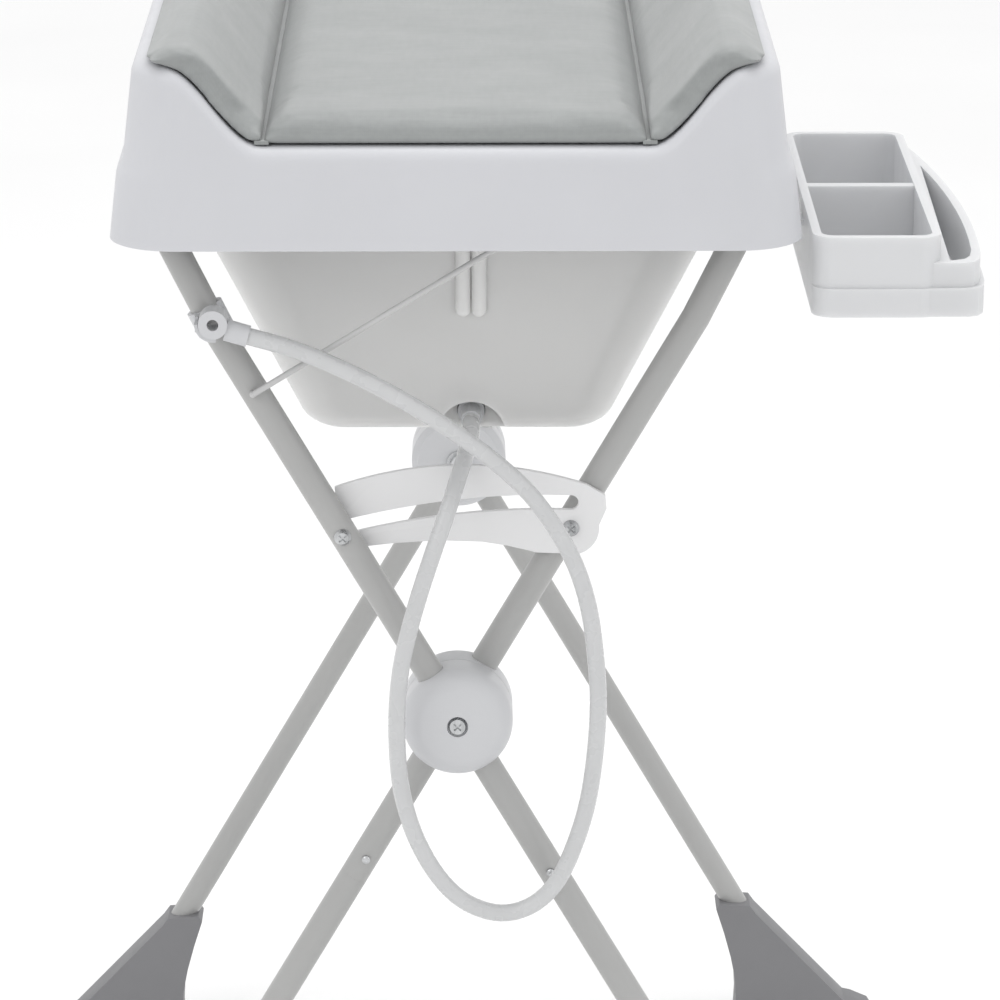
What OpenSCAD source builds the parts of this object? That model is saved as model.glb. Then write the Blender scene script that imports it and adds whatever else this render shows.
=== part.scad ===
// Folding changing table with a baby bath under its lift-up top.
// Two crossed tube frames stand on four boots. The bath hangs between the rails,
// the padded top closes it, and a small caddy hooks on at the right.
// X is across, Y runs from the front (foot) end to the rear, Z is up from the floor.

/* [Frames] */
// Outside diameter of the frame tubes
tube_d = 20; // [18:0.5:24]
// Wall of the frame tubes
tube_wall = 1.2; // [1:0.1:2]
// Height of the two crossing hubs above the floor
hub_height = 520; // [430:5:630]
// Distance between the front and rear planes of the outer frame
frame_len = 670; // [550:5:810]
// Gap between the tubes of the outer and of the inner frame, where the link plate runs
tube_gap = 6; // [6:0.5:10]
// Lean of the legs from the vertical, in degrees
leg_lean = 30.2; // [28:0.2:32]
// Height of the rails above the hubs
rail_up = 372; // [330:1:440]
// Distance of each rail from the middle
rail_out = 208.5; // [190:0.5:245]
// Centre line radius of the corners between legs and rails
corner_r = 36; // [30:1:45]
// Height above the hubs where the legs bend a little steeper
kink_up = 285; // [250:1:300]
// Distance below the hubs where the lower legs plug in
seam_down = 128; // [110:1:160]
// Length of the necked end inside the upper tube
neck_len = 45; // [35:1:60]
// Diameter of the spring buttons that lock the lower legs
button_d = 5.9; // [5:0.1:7]

/* [Hubs and link] */
// Diameter of the hub shells
hub_d = 78; // [68:1:90]
// Diameter of the hub bolts
bolt_d = 8; // [6:0.5:10]
// Thickness of the slotted link plate
link_t = 4.6; // [3.6:0.2:4.8]
// Width of the slot in the link plate
slot_w = 10.4; // [9:0.2:12]
// Distance of the link pivot from the middle of the frame
link_out = 79.5; // [70:0.5:90]

/* [Boots] */
// Width of a boot from front to back
boot_w = 32; // [30:1:40]
// Height of a boot where the leg enters it
boot_h = 114; // [100:1:130]
// Reach of the rubber soles past the tops of the boots
sole_reach = 127.7; // [115:0.1:150]
// Thickness of the rubber soles
sole_t = 8; // [6:0.5:12]

/* [Bath] */
// Depth of the bath below its rim
bath_depth = 194; // [150:1:220]
// Wall of the bath
bath_wall = 3; // [2.5:0.1:4]
// Width of the bath's floor
bath_floor_w = 224; // [190:1:250]
// Radius of the bath's corners in plan
bath_corner = 62; // [45:1:80]
// Height of the centre line of the drain above the bath's underside
drain_up = 13.7; // [13:0.1:15]

/* [Top] */
// Overhang of the top past the outer leg planes, at each end
top_over = 45; // [40:1:60]
// Reach of the top's lower edge past the bath's rim, at each side
top_reach = 15; // [14.5:0.5:45]
// Height of the top from its lower edge to its side edges
top_h = 124; // [110:1:140]
// Height of the dished middle of the top above its lower edge
dish_h = 70; // [62:1:80]
// Width of the flat middle of the dish
dish_w = 262; // [220:1:300]
// Wall of the moulded top
top_wall = 3; // [2.5:0.1:4]
// Radius of the top's corners in plan
top_corner = 46; // [30:1:60]
// Thickness of the middle of the pad
pad_t = 19; // [12:1:30]

/* [Caddy] */
// Width of the box of the caddy
caddy_w = 88; // [70:1:110]
// Length of the caddy
caddy_len = 328; // [240:1:380]
// Height of the caddy
caddy_h = 56; // [45:1:70]
// Wall of the caddy
caddy_wall = 6; // [3:0.5:7]
// Width of the pocket beside the box of the caddy
pocket_w = 32.5; // [28:0.5:45]

/* [Hose and stay] */
// Outside diameter of the drain hose
hose_d = 12; // [10:0.5:14]
// Diameter of the wire stay under the top
stay_d = 4.2; // [3.6:0.1:5]
// Length of the wire stay from its pivot to its tip
stay_len = 215; // [190:1:240]

/* [Hidden] */

$fn = 48;
eps = 0.1;
// Clearance between pieces that are fixed together
snug = 0.1;
// Clearance between curved faces of pieces that move apart
free_gap = 0.4;
// Radial clearance of a shaft that turns or slides in its hole
running = 0.05;

tube_r = tube_d / 2;
plane_gap = tube_d + tube_gap;
bore_d = tube_d - 2 * tube_wall;
rail_z = hub_height + rail_up;
plane_y = frame_len / 2;
lean = tan(leg_lean);
kink = [-lean * kink_up, 0, kink_up];
corner = [-rail_out, 0, rail_up];
top_dir = (corner - kink) / norm(corner - kink);
top_lean = atan2(-top_dir[0], top_dir[2]);
bend = corner - corner_r * top_dir;
leg_dir = [-lean, 0, 1] / norm([-lean, 0, 1]);
seam = [lean * seam_down, 0, -seam_down];
leg_end = sole_t + tube_r * sin(leg_lean) + 2;

button_up = 15;
button_at = [lean * (seam_down - button_up), 0, button_up - seam_down];
button_travel = 3;

hub_front = tube_r + 10;
hub_split = plane_gap / 2 - 0.3;
hub_back = plane_gap + tube_r + 2;

link_y = plane_gap / 2;
link_pin = [-link_out, 0, link_out / lean];
link_pivot = [link_out, 0, link_out / lean];

sole_out = lean * (hub_height - boot_h) + sole_reach;

rim_z = rail_z + tube_r + 0.3;
rim_t = 3.5;
rim_w = rail_out + tube_r + 3.5;
rim_len = plane_y - 5;
lip_t = 2.5;
lip_h = 10;
bath_w = rail_out - tube_r - 10.5;
bath_len = plane_y - plane_gap - tube_r - 7;
bath_mid_w = rail_out - tube_r - 22;
bath_mid_drop = 57;
bath_end_draft = 17;
bath_bottom = rim_z - bath_depth;

top_bottom = rail_z - 22;
top_w = 2 * (rim_w + top_reach);
top_len = frame_len + 2 * top_over;
top_z = top_bottom + top_h;
dish_z = top_bottom + dish_h;
hinge = [-(top_w / 2 - 9), 0, top_bottom + 7];
hinge_pin_d = 4;
hinge_y = 150;
hinge_lug_w = 24;

hook_y = [-plane_y + 90, -plane_y + 220];
hook_w = 20;
hook_room = 3.2;
staple_z = rim_z - lip_h - 5;
caddy_in = top_w / 2 + 6.5;
caddy_out = caddy_in + caddy_w + pocket_w;
caddy_front = -plane_y - 20;
caddy_top = top_bottom + 3;
caddy_bottom = caddy_top - caddy_h;

stay_y = -14;
stay_pivot = [-lean * 241, stay_y, 241];
stay_tip = [stay_pivot[0] + stay_len * cos(31.7), stay_y, 241 + stay_len * sin(31.7)];

drain_x = 10;
drain_z = bath_bottom + drain_up - hub_height;
drain_disc_d = 2 * (drain_up - bath_wall - 0.8);

// Centre line of the drain hose, from the bath's drain to the fitting on the left leg
hose_route = [
    [10, 56, 202], [10, 42, 202], [10, 28, 201], [8, 14, 197], [5, 1, 190], [1, -11, 180],
    [-4, -22, 167], [-10, -30, 151], [-17, -36, 132], [-25, -40, 108], [-33, -42, 80],
    [-39, -42, 52],
    [-42, -42, 22], [-42, -42, -10], [-39, -42, -40], [-31, -42, -70], [-18, -42, -97],
    [-2, -42, -117], [16, -42, -128], [35, -42, -131], [54, -42, -124], [70, -42, -107],
    [82, -42, -80], [91, -42, -48], [96, -42, -12], [98, -42, 25], [96, -42, 60],
    [91, -41, 95], [82, -41, 125], [68, -40, 152], [50, -39, 177], [28, -38, 198],
    [2, -37, 218], [-26, -35, 236], [-56, -33, 253], [-86, -30, 267], [-114, -28, 278],
    [-142, -27, 286],
];
fitting_at = [-166, -27, 296];
fitting_back = 8.5;

// --- helpers -------------------------------------------------------------

// A straight round bar between two points
module bar(p, q, d) {
    v = q - p;
    translate(p) rotate([0, acos(v[2] / norm(v)), atan2(v[1], v[0])])
        cylinder(h = norm(v), d = d);
}

// A round bar along Y, from y0 to y1, centred on x and z
module bar_y(x, z, y0, y1, d) {
    translate([x, y0, z]) rotate([-90, 0, 0]) cylinder(h = y1 - y0, d = d);
}

// A box given by its low and high corners
module block(lo, hi) {
    translate(lo) cube(hi - lo);
}

// Extrude an outline drawn in X and Z along Y, from y0 to y1
module along_y(y0, y1) {
    translate([0, y1, 0]) rotate([90, 0, 0]) linear_extrude(height = y1 - y0) children();
}

// A rectangle with round corners
module round_rect(lo, hi, r) {
    translate([lo[0] + r, lo[1]]) square([hi[0] - lo[0] - 2 * r, hi[1] - lo[1]]);
    translate([lo[0], lo[1] + r]) square([hi[0] - lo[0], hi[1] - lo[1] - 2 * r]);
    for (x = [lo[0] + r, hi[0] - r], y = [lo[1] + r, hi[1] - r])
        translate([x, y]) circle(r = r, $fn = 64);
}

// Hub frames: the origin is the crossing point of the outer leg plane at each end,
// and +Y points into the table
module front() { translate([0, -plane_y, hub_height]) children(); }
module rear() { mirror([0, 1, 0]) front() children(); }

// The inner frame is the outer one turned left for right and set inside it
module inner() { translate([0, plane_gap, 0]) mirror([1, 0, 0]) children(); }

steel = [0.72, 0.72, 0.71];
white = [0.93, 0.94, 0.95];
boot_grey = [0.50, 0.51, 0.53];
milky = [0.90, 0.91, 0.90, 0.9];
pad_grey = [0.69, 0.71, 0.70];

// --- frames --------------------------------------------------------------

// Everything below the mitre where the leg bends a little steeper
module below_kink() {
    side = 4 * tube_d;
    translate(kink) rotate([0, -(leg_lean + top_lean) / 2, 0])
        translate([-side / 2, -side / 2, -2 * hub_height]) cube([side, side, 2 * hub_height]);
}

// Outside or inside volume of the upper leg, from the seam to the corner bend
module upper_leg_volume(d, more) {
    past = 5;
    intersection() {
        bar(seam - more * leg_dir, kink + past * leg_dir, d);
        below_kink();
    }
    difference() {
        bar(kink - past * top_dir, bend + more * top_dir, d);
        below_kink();
    }
}

module upper_leg() {
    color(steel) difference() {
        upper_leg_volume(tube_d, 0);
        upper_leg_volume(bore_d, 1);
        bar_y(0, 0, -tube_d, tube_d, bolt_d + 2 * running);
        bar_y(button_at[0], button_at[2], -tube_d, 0, button_d + 2 * running);
    }
}

module lower_leg() {
    end_z = leg_end - hub_height;
    low = [-lean * end_z, 0, end_z];
    down = (low - seam) / norm(low - seam);
    neck_d = bore_d - 2 * running;
    color(steel) difference() {
        union() {
            bar(seam + 0.05 * down, low, tube_d);
            bar(seam - neck_len * down, seam + 2 * down, neck_d);
        }
        bar(seam - (neck_len + 1) * down, seam + 3 * down, neck_d - 2 * tube_wall);
        bar(seam + 4 * down, low + 2 * down, bore_d);
        bar(seam + 2 * down, seam + 5 * down, neck_d - 2 * tube_wall);
        bar_y(button_at[0], button_at[2], -tube_d, 0, button_d + 2 * running);
    }
}

module corner_bend() {
    color(steel)
    translate(bend + [0, corner_r, 0]) rotate([0, -top_lean, 0]) rotate([90, 0, -90])
        rotate_extrude(angle = 90) translate([corner_r, 0]) difference() {
            circle(d = tube_d);
            circle(d = bore_d);
        }
}

module rail(inset) {
    ends = plane_y - inset - corner_r;
    color(steel) difference() {
        bar_y(-rail_out, rail_z, -ends, ends, tube_d);
        bar_y(-rail_out, rail_z, -ends - 1, ends + 1, bore_d);
    }
}

module rail_left() { rail(0); }
module rail_right() { mirror([1, 0, 0]) rail(plane_gap); }
module corners_left() { front() corner_bend(); rear() corner_bend(); }
module corners_right() { front() inner() corner_bend(); rear() inner() corner_bend(); }

module slot_screw_hole() {
    bar_y(link_pin[0], link_pin[2], -tube_d, tube_d, 6 + 2 * snug);
}
module upper_leg_a_front() {
    color(steel) front() difference() {
        upper_leg();
        slot_screw_hole();
        bar_y(stay_pivot[0], stay_pivot[2], -tube_d, 0, stay_d + 2 * running);
    }
}
module upper_leg_a_rear() { rear() upper_leg(); }
module upper_leg_b_front() {
    color(steel) front() difference() {
        inner() upper_leg();
        bar_y(link_pivot[0], link_pivot[2], 0, plane_gap + tube_d, 6 + 2 * snug);
    }
}
module upper_leg_b_rear() { rear() inner() upper_leg(); }
module lower_leg_a_front() { front() lower_leg(); }
module lower_leg_a_rear() { rear() lower_leg(); }
module lower_leg_b_front() { front() inner() lower_leg(); }
module lower_leg_b_rear() { rear() inner() lower_leg(); }

// --- spring buttons ------------------------------------------------------

module button() {
    color("silver") {
        bar_y(button_at[0], button_at[2], -tube_r - 1.4, -tube_r + 2.9, button_d);
        translate([button_at[0], -tube_r - 1.4, button_at[2]]) rotate([90, 0, 0])
            intersection() {
                translate([0, 0, -2.8]) sphere(d = button_d + 2);
                cylinder(h = 1.4, d = button_d);
            }
    }
}

// A folded leaf of spring strip behind each button, drawn pressed
module button_spring() {
    y0 = -tube_r + tube_wall * 2 + button_travel + 1.2;
    y1 = tube_r - 2 * tube_wall - 1.6;
    up = [-sin(leg_lean), 0, cos(leg_lean)];
    side = 3;
    color("gray") translate(button_at) rotate([0, -leg_lean, 0]) {
        block([-side, y0, -6], [side, y0 + 0.6, 24]);
        block([-side, y1 - 0.6, -2], [side, y1, 24]);
        block([-side, y0, 23.4], [side, y1, 24]);
    }
}

module button_a_front() { front() button(); }
module button_a_rear() { rear() button(); }
module button_b_front() { front() inner() button(); }
module button_b_rear() { rear() inner() button(); }
module button_springs_a() { front() button_spring(); rear() button_spring(); }
module button_springs_b() { front() inner() button_spring(); rear() inner() button_spring(); }

// --- boots and soles -----------------------------------------------------

// Outline of a boot, seen from the front, with the leg leaning to +X
module boot_outline() {
    top_x = lean * (hub_height - boot_h);
    polygon([
        [top_x - 16, boot_h - 2], [top_x - 13, boot_h + 3], [top_x + 13, boot_h + 1],
        [top_x + 18, boot_h - 6],
        [top_x + 96, 26], [top_x + 103, 24.5], [sole_out - 10, 18], [sole_out - 4, sole_t],
        [top_x + 1, sole_t], [top_x + 2, 30], [top_x + 1, 48], [top_x - 3, 68],
        [top_x - 9, 90],
    ]);
}

module boot() {
    low_z = leg_end - 0.3 - hub_height;
    low = [-lean * low_z, 0, low_z];
    color(boot_grey) difference() {
        translate([0, 0, -hub_height]) along_y(-boot_w / 2, boot_w / 2) boot_outline();
        bar(low, seam, tube_d + 2 * snug);
    }
}

module sole() {
    top_x = lean * (hub_height - boot_h);
    color([0.35, 0.36, 0.38])
    translate([0, 0, -hub_height]) linear_extrude(height = sole_t)
        round_rect([top_x - 2, -boot_w / 2 - 2], [sole_out, boot_w / 2 + 2], 9);
}

module boot_a_front() { front() boot(); }
module boot_a_rear() { rear() boot(); }
module boot_b_front() { front() inner() boot(); }
module boot_b_rear() { rear() inner() boot(); }
module soles_a() { front() sole(); rear() sole(); }
module soles_b() { front() inner() sole(); rear() inner() sole(); }

// --- hubs ----------------------------------------------------------------

// Half section of the outer shell, revolved about the hub's axis
module outer_hub_section() {
    r = hub_d / 2;
    edge = 15;
    difference() {
        union() {
            translate([0, -hub_split]) square([r, hub_split + hub_front - edge]);
            square([r - edge, hub_front]);
            translate([r - edge, hub_front - edge]) circle(r = edge);
        }
        translate([-1, -hub_split - 1]) square([1, hub_split + hub_front + 2]);
    }
}

module hub_shell_a() {
    color(white) difference() {
        rotate([90, 0, 0]) rotate_extrude($fn = 96) outer_hub_section();
        bar([lean * 60, 0, -60], [-lean * 60, 0, 60], tube_d + 2 * snug);
        bar_y(0, 0, -hub_front - 1, hub_split + 1, bolt_d + 2 * snug);
        bar_y(0, 0, -hub_front - 1, -hub_front + 3, 15);
    }
}

module hub_shell_b() {
    inside = hub_split + 0.6;
    color(white) difference() {
        union() {
            bar_y(0, 0, inside, hub_back - 5, hub_d);
            translate([0, hub_back - 5, 0]) rotate([-90, 0, 0])
                cylinder(h = 5, d1 = hub_d, d2 = hub_d - 10, $fn = 96);
        }
        bar([-lean * 60, plane_gap, -60], [lean * 60, plane_gap, 60], tube_d + 2 * snug);
        bar_y(0, 0, 0, hub_back + 1, bolt_d + 2 * running);
    }
}

module cross_recess(y, depth) {
    for (a = [45, 135]) translate([0, y, 0]) rotate([0, a, 0])
        translate([-3.4, 0, -0.7]) cube([6.8, depth, 1.4]);
}

module hub_bolt() {
    color("silver") difference() {
        union() {
            bar_y(0, 0, -hub_front + 2.9, hub_back + 6.5, bolt_d);
            translate([0, -hub_front + 2.9, 0]) rotate([90, 0, 0])
                cylinder(h = 3.2, d1 = 13.6, d2 = 11);
        }
        cross_recess(-hub_front - 0.4, 2);
    }
}

module hub_nut() {
    color("silver") difference() {
        translate([0, hub_back + 1.4, 0]) rotate([-90, 0, 0]) cylinder(h = 6, d = 15, $fn = 6);
        bar_y(0, 0, hub_back, hub_back + 9, bolt_d + 2 * snug);
    }
}

module hub_washer() {
    color("silver") difference() {
        bar_y(0, 0, hub_back + 0.3, hub_back + 1.3, 20);
        bar_y(0, 0, hub_back, hub_back + 2, bolt_d + 2 * snug);
    }
}

module hub_shell_a_front() { front() hub_shell_a(); }
module hub_shell_a_rear() { rear() hub_shell_a(); }
module hub_shell_b_front() { front() hub_shell_b(); }
module hub_shell_b_rear() { rear() hub_shell_b(); }
module hub_bolts() { front() hub_bolt(); rear() hub_bolt(); }
module hub_nuts() { front() hub_nut(); rear() hub_nut(); }
module hub_washers() { front() hub_washer(); rear() hub_washer(); }

// --- slotted link --------------------------------------------------------

link_crown = 46;
function link_top(x) = link_pivot[2] + link_crown - 0.00195 * pow(x - 5, 2);
function slot_mid(x) = link_pivot[2] + 19 - 0.00093 * pow(link_out - 19 - x, 2);

module link_outline() {
    z0 = link_pivot[2];
    polygon(concat(
        [for (x = [-link_out - 6 : 8 : link_out + 16]) [x, link_top(x)]],
        [[link_out + 24, z0 + 24], [link_out + 25, z0 + 14], [link_out + 19, z0],
         [link_out, z0 - 19], [link_out - 24, z0 - 18], [link_out - 44, z0 - 13],
         [link_out - 62, z0 - 10], [-12, z0 - 9], [-45, z0 - 11], [-link_out, z0 - 15]]));
}

module slot_outline() {
    ends = [-link_out, link_out];
    step = 2 * link_out / 12;
    polygon(concat(
        [for (i = [0 : 12]) let (x = ends[0] + i * step) [x, slot_mid(x) + slot_w / 2]],
        [for (i = [12 : -1 : 0]) let (x = ends[0] + i * step) [x, slot_mid(x) - slot_w / 2]]));
}

module link_plate() {
    y0 = link_y - link_t / 2;
    y1 = link_y + link_t / 2;
    color(white) front() difference() {
        union() {
            along_y(y0, y1) link_outline();
            bar_y(-link_out + 7, link_pivot[2] + 10, y0, y1, 40);
            bar_y(link_out, link_pivot[2], y0, y1, 40);
        }
        along_y(y0 - 1, y1 + 1) slot_outline();
        for (x = [-link_out, link_out]) bar_y(x, slot_mid(x), y0 - 1, y1 + 1, slot_w);
        bar_y(link_pivot[0], link_pivot[2], 0, plane_gap, 6 + 2 * running);
    }
}

// A cross-head screw along Y: the head's back is at y, the shank ends at y_end
module screw(at, y, y_end) {
    translate([at[0], 0, at[2]]) difference() {
        union() {
            bar_y(0, 0, y - 0.05, y_end, 6);
            translate([0, y, 0]) rotate([90, 0, 0]) cylinder(h = 3, d1 = 12, d2 = 8);
        }
        cross_recess(y - 3.1, 1.8);
    }
}

module link_pivot_screw() {
    color("silver") front() screw(link_pivot, link_y - link_t / 2 - 0.3, plane_gap + tube_r - 3);
}

// The rear end of this screw is the pin of the slot; it is cut off just in front of the plate
module link_slot_screw() {
    color("silver") front() screw(link_pin, -tube_r - 0.1, link_y - link_t / 2 - 0.35);
}

// --- stay wire -----------------------------------------------------------

module stay_wire() {
    color("silver") front() {
        p = stay_pivot;
        q = stay_tip;
        bar(p, q, stay_d);
        translate(p) sphere(d = stay_d + 0.4);
        bar_y(p[0], p[2], stay_y, -tube_r + tube_wall + 2, stay_d);
        translate(q) sphere(d = stay_d + 0.4);
        bar_y(q[0], q[2], stay_y - 16, stay_y, stay_d);
    }
}

// --- drain hose and its clip ---------------------------------------------

hose_sides = 12;
function unit(v) = v / norm(v);
function tangent(pts, i) =
    unit(pts[min(i + 1, len(pts) - 1)] - pts[max(i - 1, 0)]);
// Square axis of a ring: the last ring's axis, leaned to stay square to the route
function carried(axis, t) = unit(axis - (axis * t) * t);
function axes(pts, i = 0, last = [1, 0, 0]) =
    i == len(pts) ? [] :
    let (now = carried(last, tangent(pts, i))) concat([now], axes(pts, i + 1, now));

module hose_tube(pts, d) {
    n = len(pts);
    frames = axes(pts);
    rings = [for (i = [0 : n - 1]) for (k = [0 : hose_sides - 1])
        let (t = tangent(pts, i), a = frames[i], b = cross(t, a), w = 360 * k / hose_sides)
        pts[i] + d / 2 * (cos(w) * a + sin(w) * b)];
    walls = [for (i = [0 : n - 2]) for (k = [0 : hose_sides - 1])
        let (j = (k + 1) % hose_sides)
        [i * hose_sides + k, (i + 1) * hose_sides + k,
         (i + 1) * hose_sides + j, i * hose_sides + j]];
    polyhedron(
        points = rings,
        faces = concat(walls, [
            [for (k = [0 : hose_sides - 1]) k],
            [for (k = [hose_sides - 1 : -1 : 0]) (n - 1) * hose_sides + k]]),
        convexity = 10);
}

module drain_hose() { color([0.86, 0.87, 0.88]) front() hose_tube(hose_route, hose_d); }

module hose_fitting() {
    a = fitting_at;
    h = hose_route[len(hose_route) - 1];
    before = hose_route[len(hose_route) - 2];
    out = unit(h - before);
    color(white) front() difference() {
        union() {
            bar_y(a[0], a[2], a[1] - 9, a[1] + fitting_back, 20);
            bar(h + 0.05 * out, h + 16 * out, 15);
        }
        bar_y(a[0], a[2], a[1] - 10, a[1] + 9, 8);
    }
}

// A saddle for the fitting, open at the top, on a band that grips the outer frame's leg
module hose_clip() {
    a = fitting_at;
    z = a[2] - 4;
    axis_x = -lean * kink_up - (z - kink_up) * tan(top_lean);
    up = top_dir;
    mid = [axis_x, 0, z];
    cup_front = a[1] - 7;
    cup_back = -tube_r - 8.4;
    room_back = max(cup_back + 1, a[1] + fitting_back + free_gap);
    color(white) front() {
        difference() {
            union() {
                bar(mid - 9 * up, mid + 9 * up, tube_d + 6);
                block([a[0] - 13, cup_back - 2, a[2] - 9], [a[0] - 4, -tube_r + 4, a[2] + 2]);
            }
            bar(mid - 12 * up, mid + 12 * up, tube_d + 2 * snug);
            block([axis_x + 3, -40, z - 30], [axis_x + 40, -tube_r + 5.5, z + 30]);
            block([a[0] - 3.8, -40, z - 30], [axis_x + 40, -tube_r + 0.5, z + 30]);
            bar_y(a[0], a[2], cup_front - 1, room_back, 20 + 2 * free_gap);
        }
        difference() {
            bar_y(a[0], a[2], cup_front, cup_back, 20 + 2 * free_gap + 4.4);
            bar_y(a[0], a[2], cup_front - 1, cup_back + 1, 20 + 2 * free_gap);
            block([a[0] - 20, cup_front - 1, a[2]], [a[0] + 20, cup_back + 1, a[2] + 20]);
            block([a[0] + 2, cup_front - 1, a[2] - 14], [a[0] + 20, cup_back + 1, a[2] + 1]);
        }
    }
}

// --- bath ----------------------------------------------------------------

recess_lo = [drain_x - 24, -bath_len - 1, bath_bottom - 1];
recess_hi = [drain_x + 24, -bath_len + 42, bath_bottom + 26];

// Bath-shaped block, shrunk by the wall when it is the inside
module bath_block(inset) {
    r = bath_corner - inset;
    low_r = 34 - inset;
    low_x = bath_floor_w / 2 - inset;
    low_y = bath_len - bath_end_draft - inset;
    mid_x = bath_mid_w - inset;
    mid_y = bath_len - bath_end_draft * bath_mid_drop / bath_depth - inset;
    hi_x = bath_w - inset;
    hi_y = bath_len - inset;
    lift = inset > 0 ? 1 : 0;
    hull() for (sx = [-1, 1], sy = [-1, 1]) {
        translate([sx * (low_x - low_r), sy * (low_y - low_r), bath_bottom + inset + 20])
            intersection() {
                scale([1, 1, 20 / low_r]) sphere(r = low_r, $fn = 32);
                translate([0, 0, -50]) cylinder(r = low_r, h = 50, $fn = 32);
            }
        translate([sx * (mid_x - r), sy * (mid_y - r), rim_z - bath_mid_drop])
            cylinder(r = r, h = 1, $fn = 32);
    }
    hull() for (sx = [-1, 1], sy = [-1, 1]) {
        translate([sx * (mid_x - r), sy * (mid_y - r), rim_z - bath_mid_drop])
            cylinder(r = r, h = 1, $fn = 32);
        translate([sx * (hi_x - r), sy * (hi_y - r), rim_z])
            cylinder(r = r, h = rim_t + lift, $fn = 32);
    }
}

module rim_plate() {
    translate([0, 0, rim_z]) linear_extrude(height = rim_t) difference() {
        round_rect([-rim_w, -rim_len], [rim_w, rim_len], bath_corner);
        round_rect([-bath_w, -bath_len], [bath_w, bath_len], bath_corner);
    }
    translate([0, 0, rim_z - lip_h]) linear_extrude(height = lip_h + rim_t) {
        for (s = [-1, 1]) translate([s > 0 ? rim_w - lip_t : -rim_w, -rim_len + bath_corner])
            square([lip_t, 2 * (rim_len - bath_corner)]);
    }
}

// Lug under the left lip that holds a hinge pin of the top
module hinge_lug(y) {
    half = hinge_lug_w / 2;
    difference() {
        union() {
            bar_y(hinge[0], hinge[2], y - half, y + half, 9);
            block([hinge[0], y - half, hinge[2] - 4.5], [-rim_w + lip_t, y + half, rim_z - 5]);
        }
        bar_y(hinge[0], hinge[2], y - half - 1, y + half + 1, hinge_pin_d + 2 * running);
    }
}

// Staple below the right lip that takes a hook of the caddy
module hook_staple(y) {
    half = hook_w / 2 + 1;
    difference() {
        block([rim_w - lip_t, y - half - 4, staple_z - 6],
              [rim_w + hook_room + 1.8, y + half + 4, staple_z]);
        block([rim_w + 0.4, y - half, staple_z - 7], [rim_w + hook_room, y + half, staple_z + 1]);
    }
    block([rim_w - lip_t, y - half - 4, staple_z - 1], [rim_w, y + half + 4, rim_z]);
}

module bath_rim() {
    color(milky) {
        rim_plate();
        for (y = [-hinge_y, hinge_y]) hinge_lug(y);
        for (y = hook_y) hook_staple(y);
    }
}

// The tub below the rim. It is one moulding with the rim; its walls, corners and pan are
// nodes of their own, cut at the planes below
module tub() {
    difference() {
        difference() {
            bath_block(0);
            block(recess_lo, recess_hi);
        }
        difference() {
            bath_block(bath_wall);
            block(recess_lo - bath_wall * [1, 1, 1], recess_hi + bath_wall * [1, 1, 1]);
        }
        bar_y(drain_x, drain_z + hub_height, recess_hi[1] - 3, recess_hi[1] + 8, 16 + 2 * snug);
    }
    front_boss();
}

pan_top = bath_bottom + 20;
split_top = rim_z + 10;
split_y = bath_len - bath_corner - 4;
split_x = bath_floor_w / 2 - 36;
split_slope = 0.31;

// Everything above the pan and between the round corners, seen from the front
module between_corners() {
    wide = split_x + split_slope * (split_top - pan_top);
    along_y(-bath_len - 20, bath_len + 20) polygon([
        [-split_x, pan_top], [split_x, pan_top], [wide, split_top], [-wide, split_top]]);
}

module above_pan(y0, y1) {
    block([-rim_w, y0, pan_top], [rim_w, y1, split_top]);
}

module bath_pan() {
    color(milky) intersection() {
        tub();
        block([-rim_w, -bath_len - 20, bath_bottom - 5], [rim_w, bath_len + 20, pan_top]);
    }
}

module bath_sides() {
    color(milky) intersection() {
        tub();
        above_pan(-split_y, split_y);
    }
}

module bath_ends() {
    color(milky) difference() {
        intersection() {
            tub();
            between_corners();
        }
        above_pan(-split_y, split_y);
    }
}

module bath_corners() {
    color(milky) difference() {
        tub();
        between_corners();
        above_pan(-split_y, split_y);
        block([-rim_w, -bath_len - 20, bath_bottom - 5], [rim_w, bath_len + 20, pan_top]);
    }
}

// Ribbed boss on the front wall, from the rim down
module front_boss() {
    y1 = -bath_len + 8;
    z0 = rim_z - 108;
    difference() {
        union() {
            block([-1, -bath_len - 4, z0 + 10], [21, y1, rim_z - 0.1]);
            for (x = [4.5, 15.5]) bar_y(x, z0 + 10, -bath_len - 4, y1, 11);
        }
        bath_block(1);
    }
}

module drain_spigot() {
    z = drain_z + hub_height;
    wall_y = recess_hi[1];
    hose_y = -plane_y + hose_route[0][1];
    color(white) difference() {
        union() {
            bar_y(drain_x, z, wall_y - 3, wall_y + bath_wall, 16);
            bar_y(drain_x, z, wall_y + bath_wall + 0.1, wall_y + bath_wall + 2, drain_disc_d);
            bar_y(drain_x, z, wall_y + bath_wall - 1, wall_y + bath_wall + 1, 16);
            bar_y(drain_x, z, wall_y - 6, wall_y - 1.6, 19);
            bar_y(drain_x, z, hose_y + 0.05, wall_y - 5, 14);
        }
        bar_y(drain_x, z, hose_y - 1, wall_y + bath_wall + 3, 9);
    }
}

module drain_seal() {
    wall_y = recess_hi[1];
    color([0.3, 0.3, 0.3]) difference() {
        bar_y(drain_x, drain_z + hub_height, wall_y - 1.5, wall_y - 0.1, 20);
        bar_y(drain_x, drain_z + hub_height, wall_y - 3, wall_y + 1, 16 + 2 * snug);
    }
}

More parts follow.
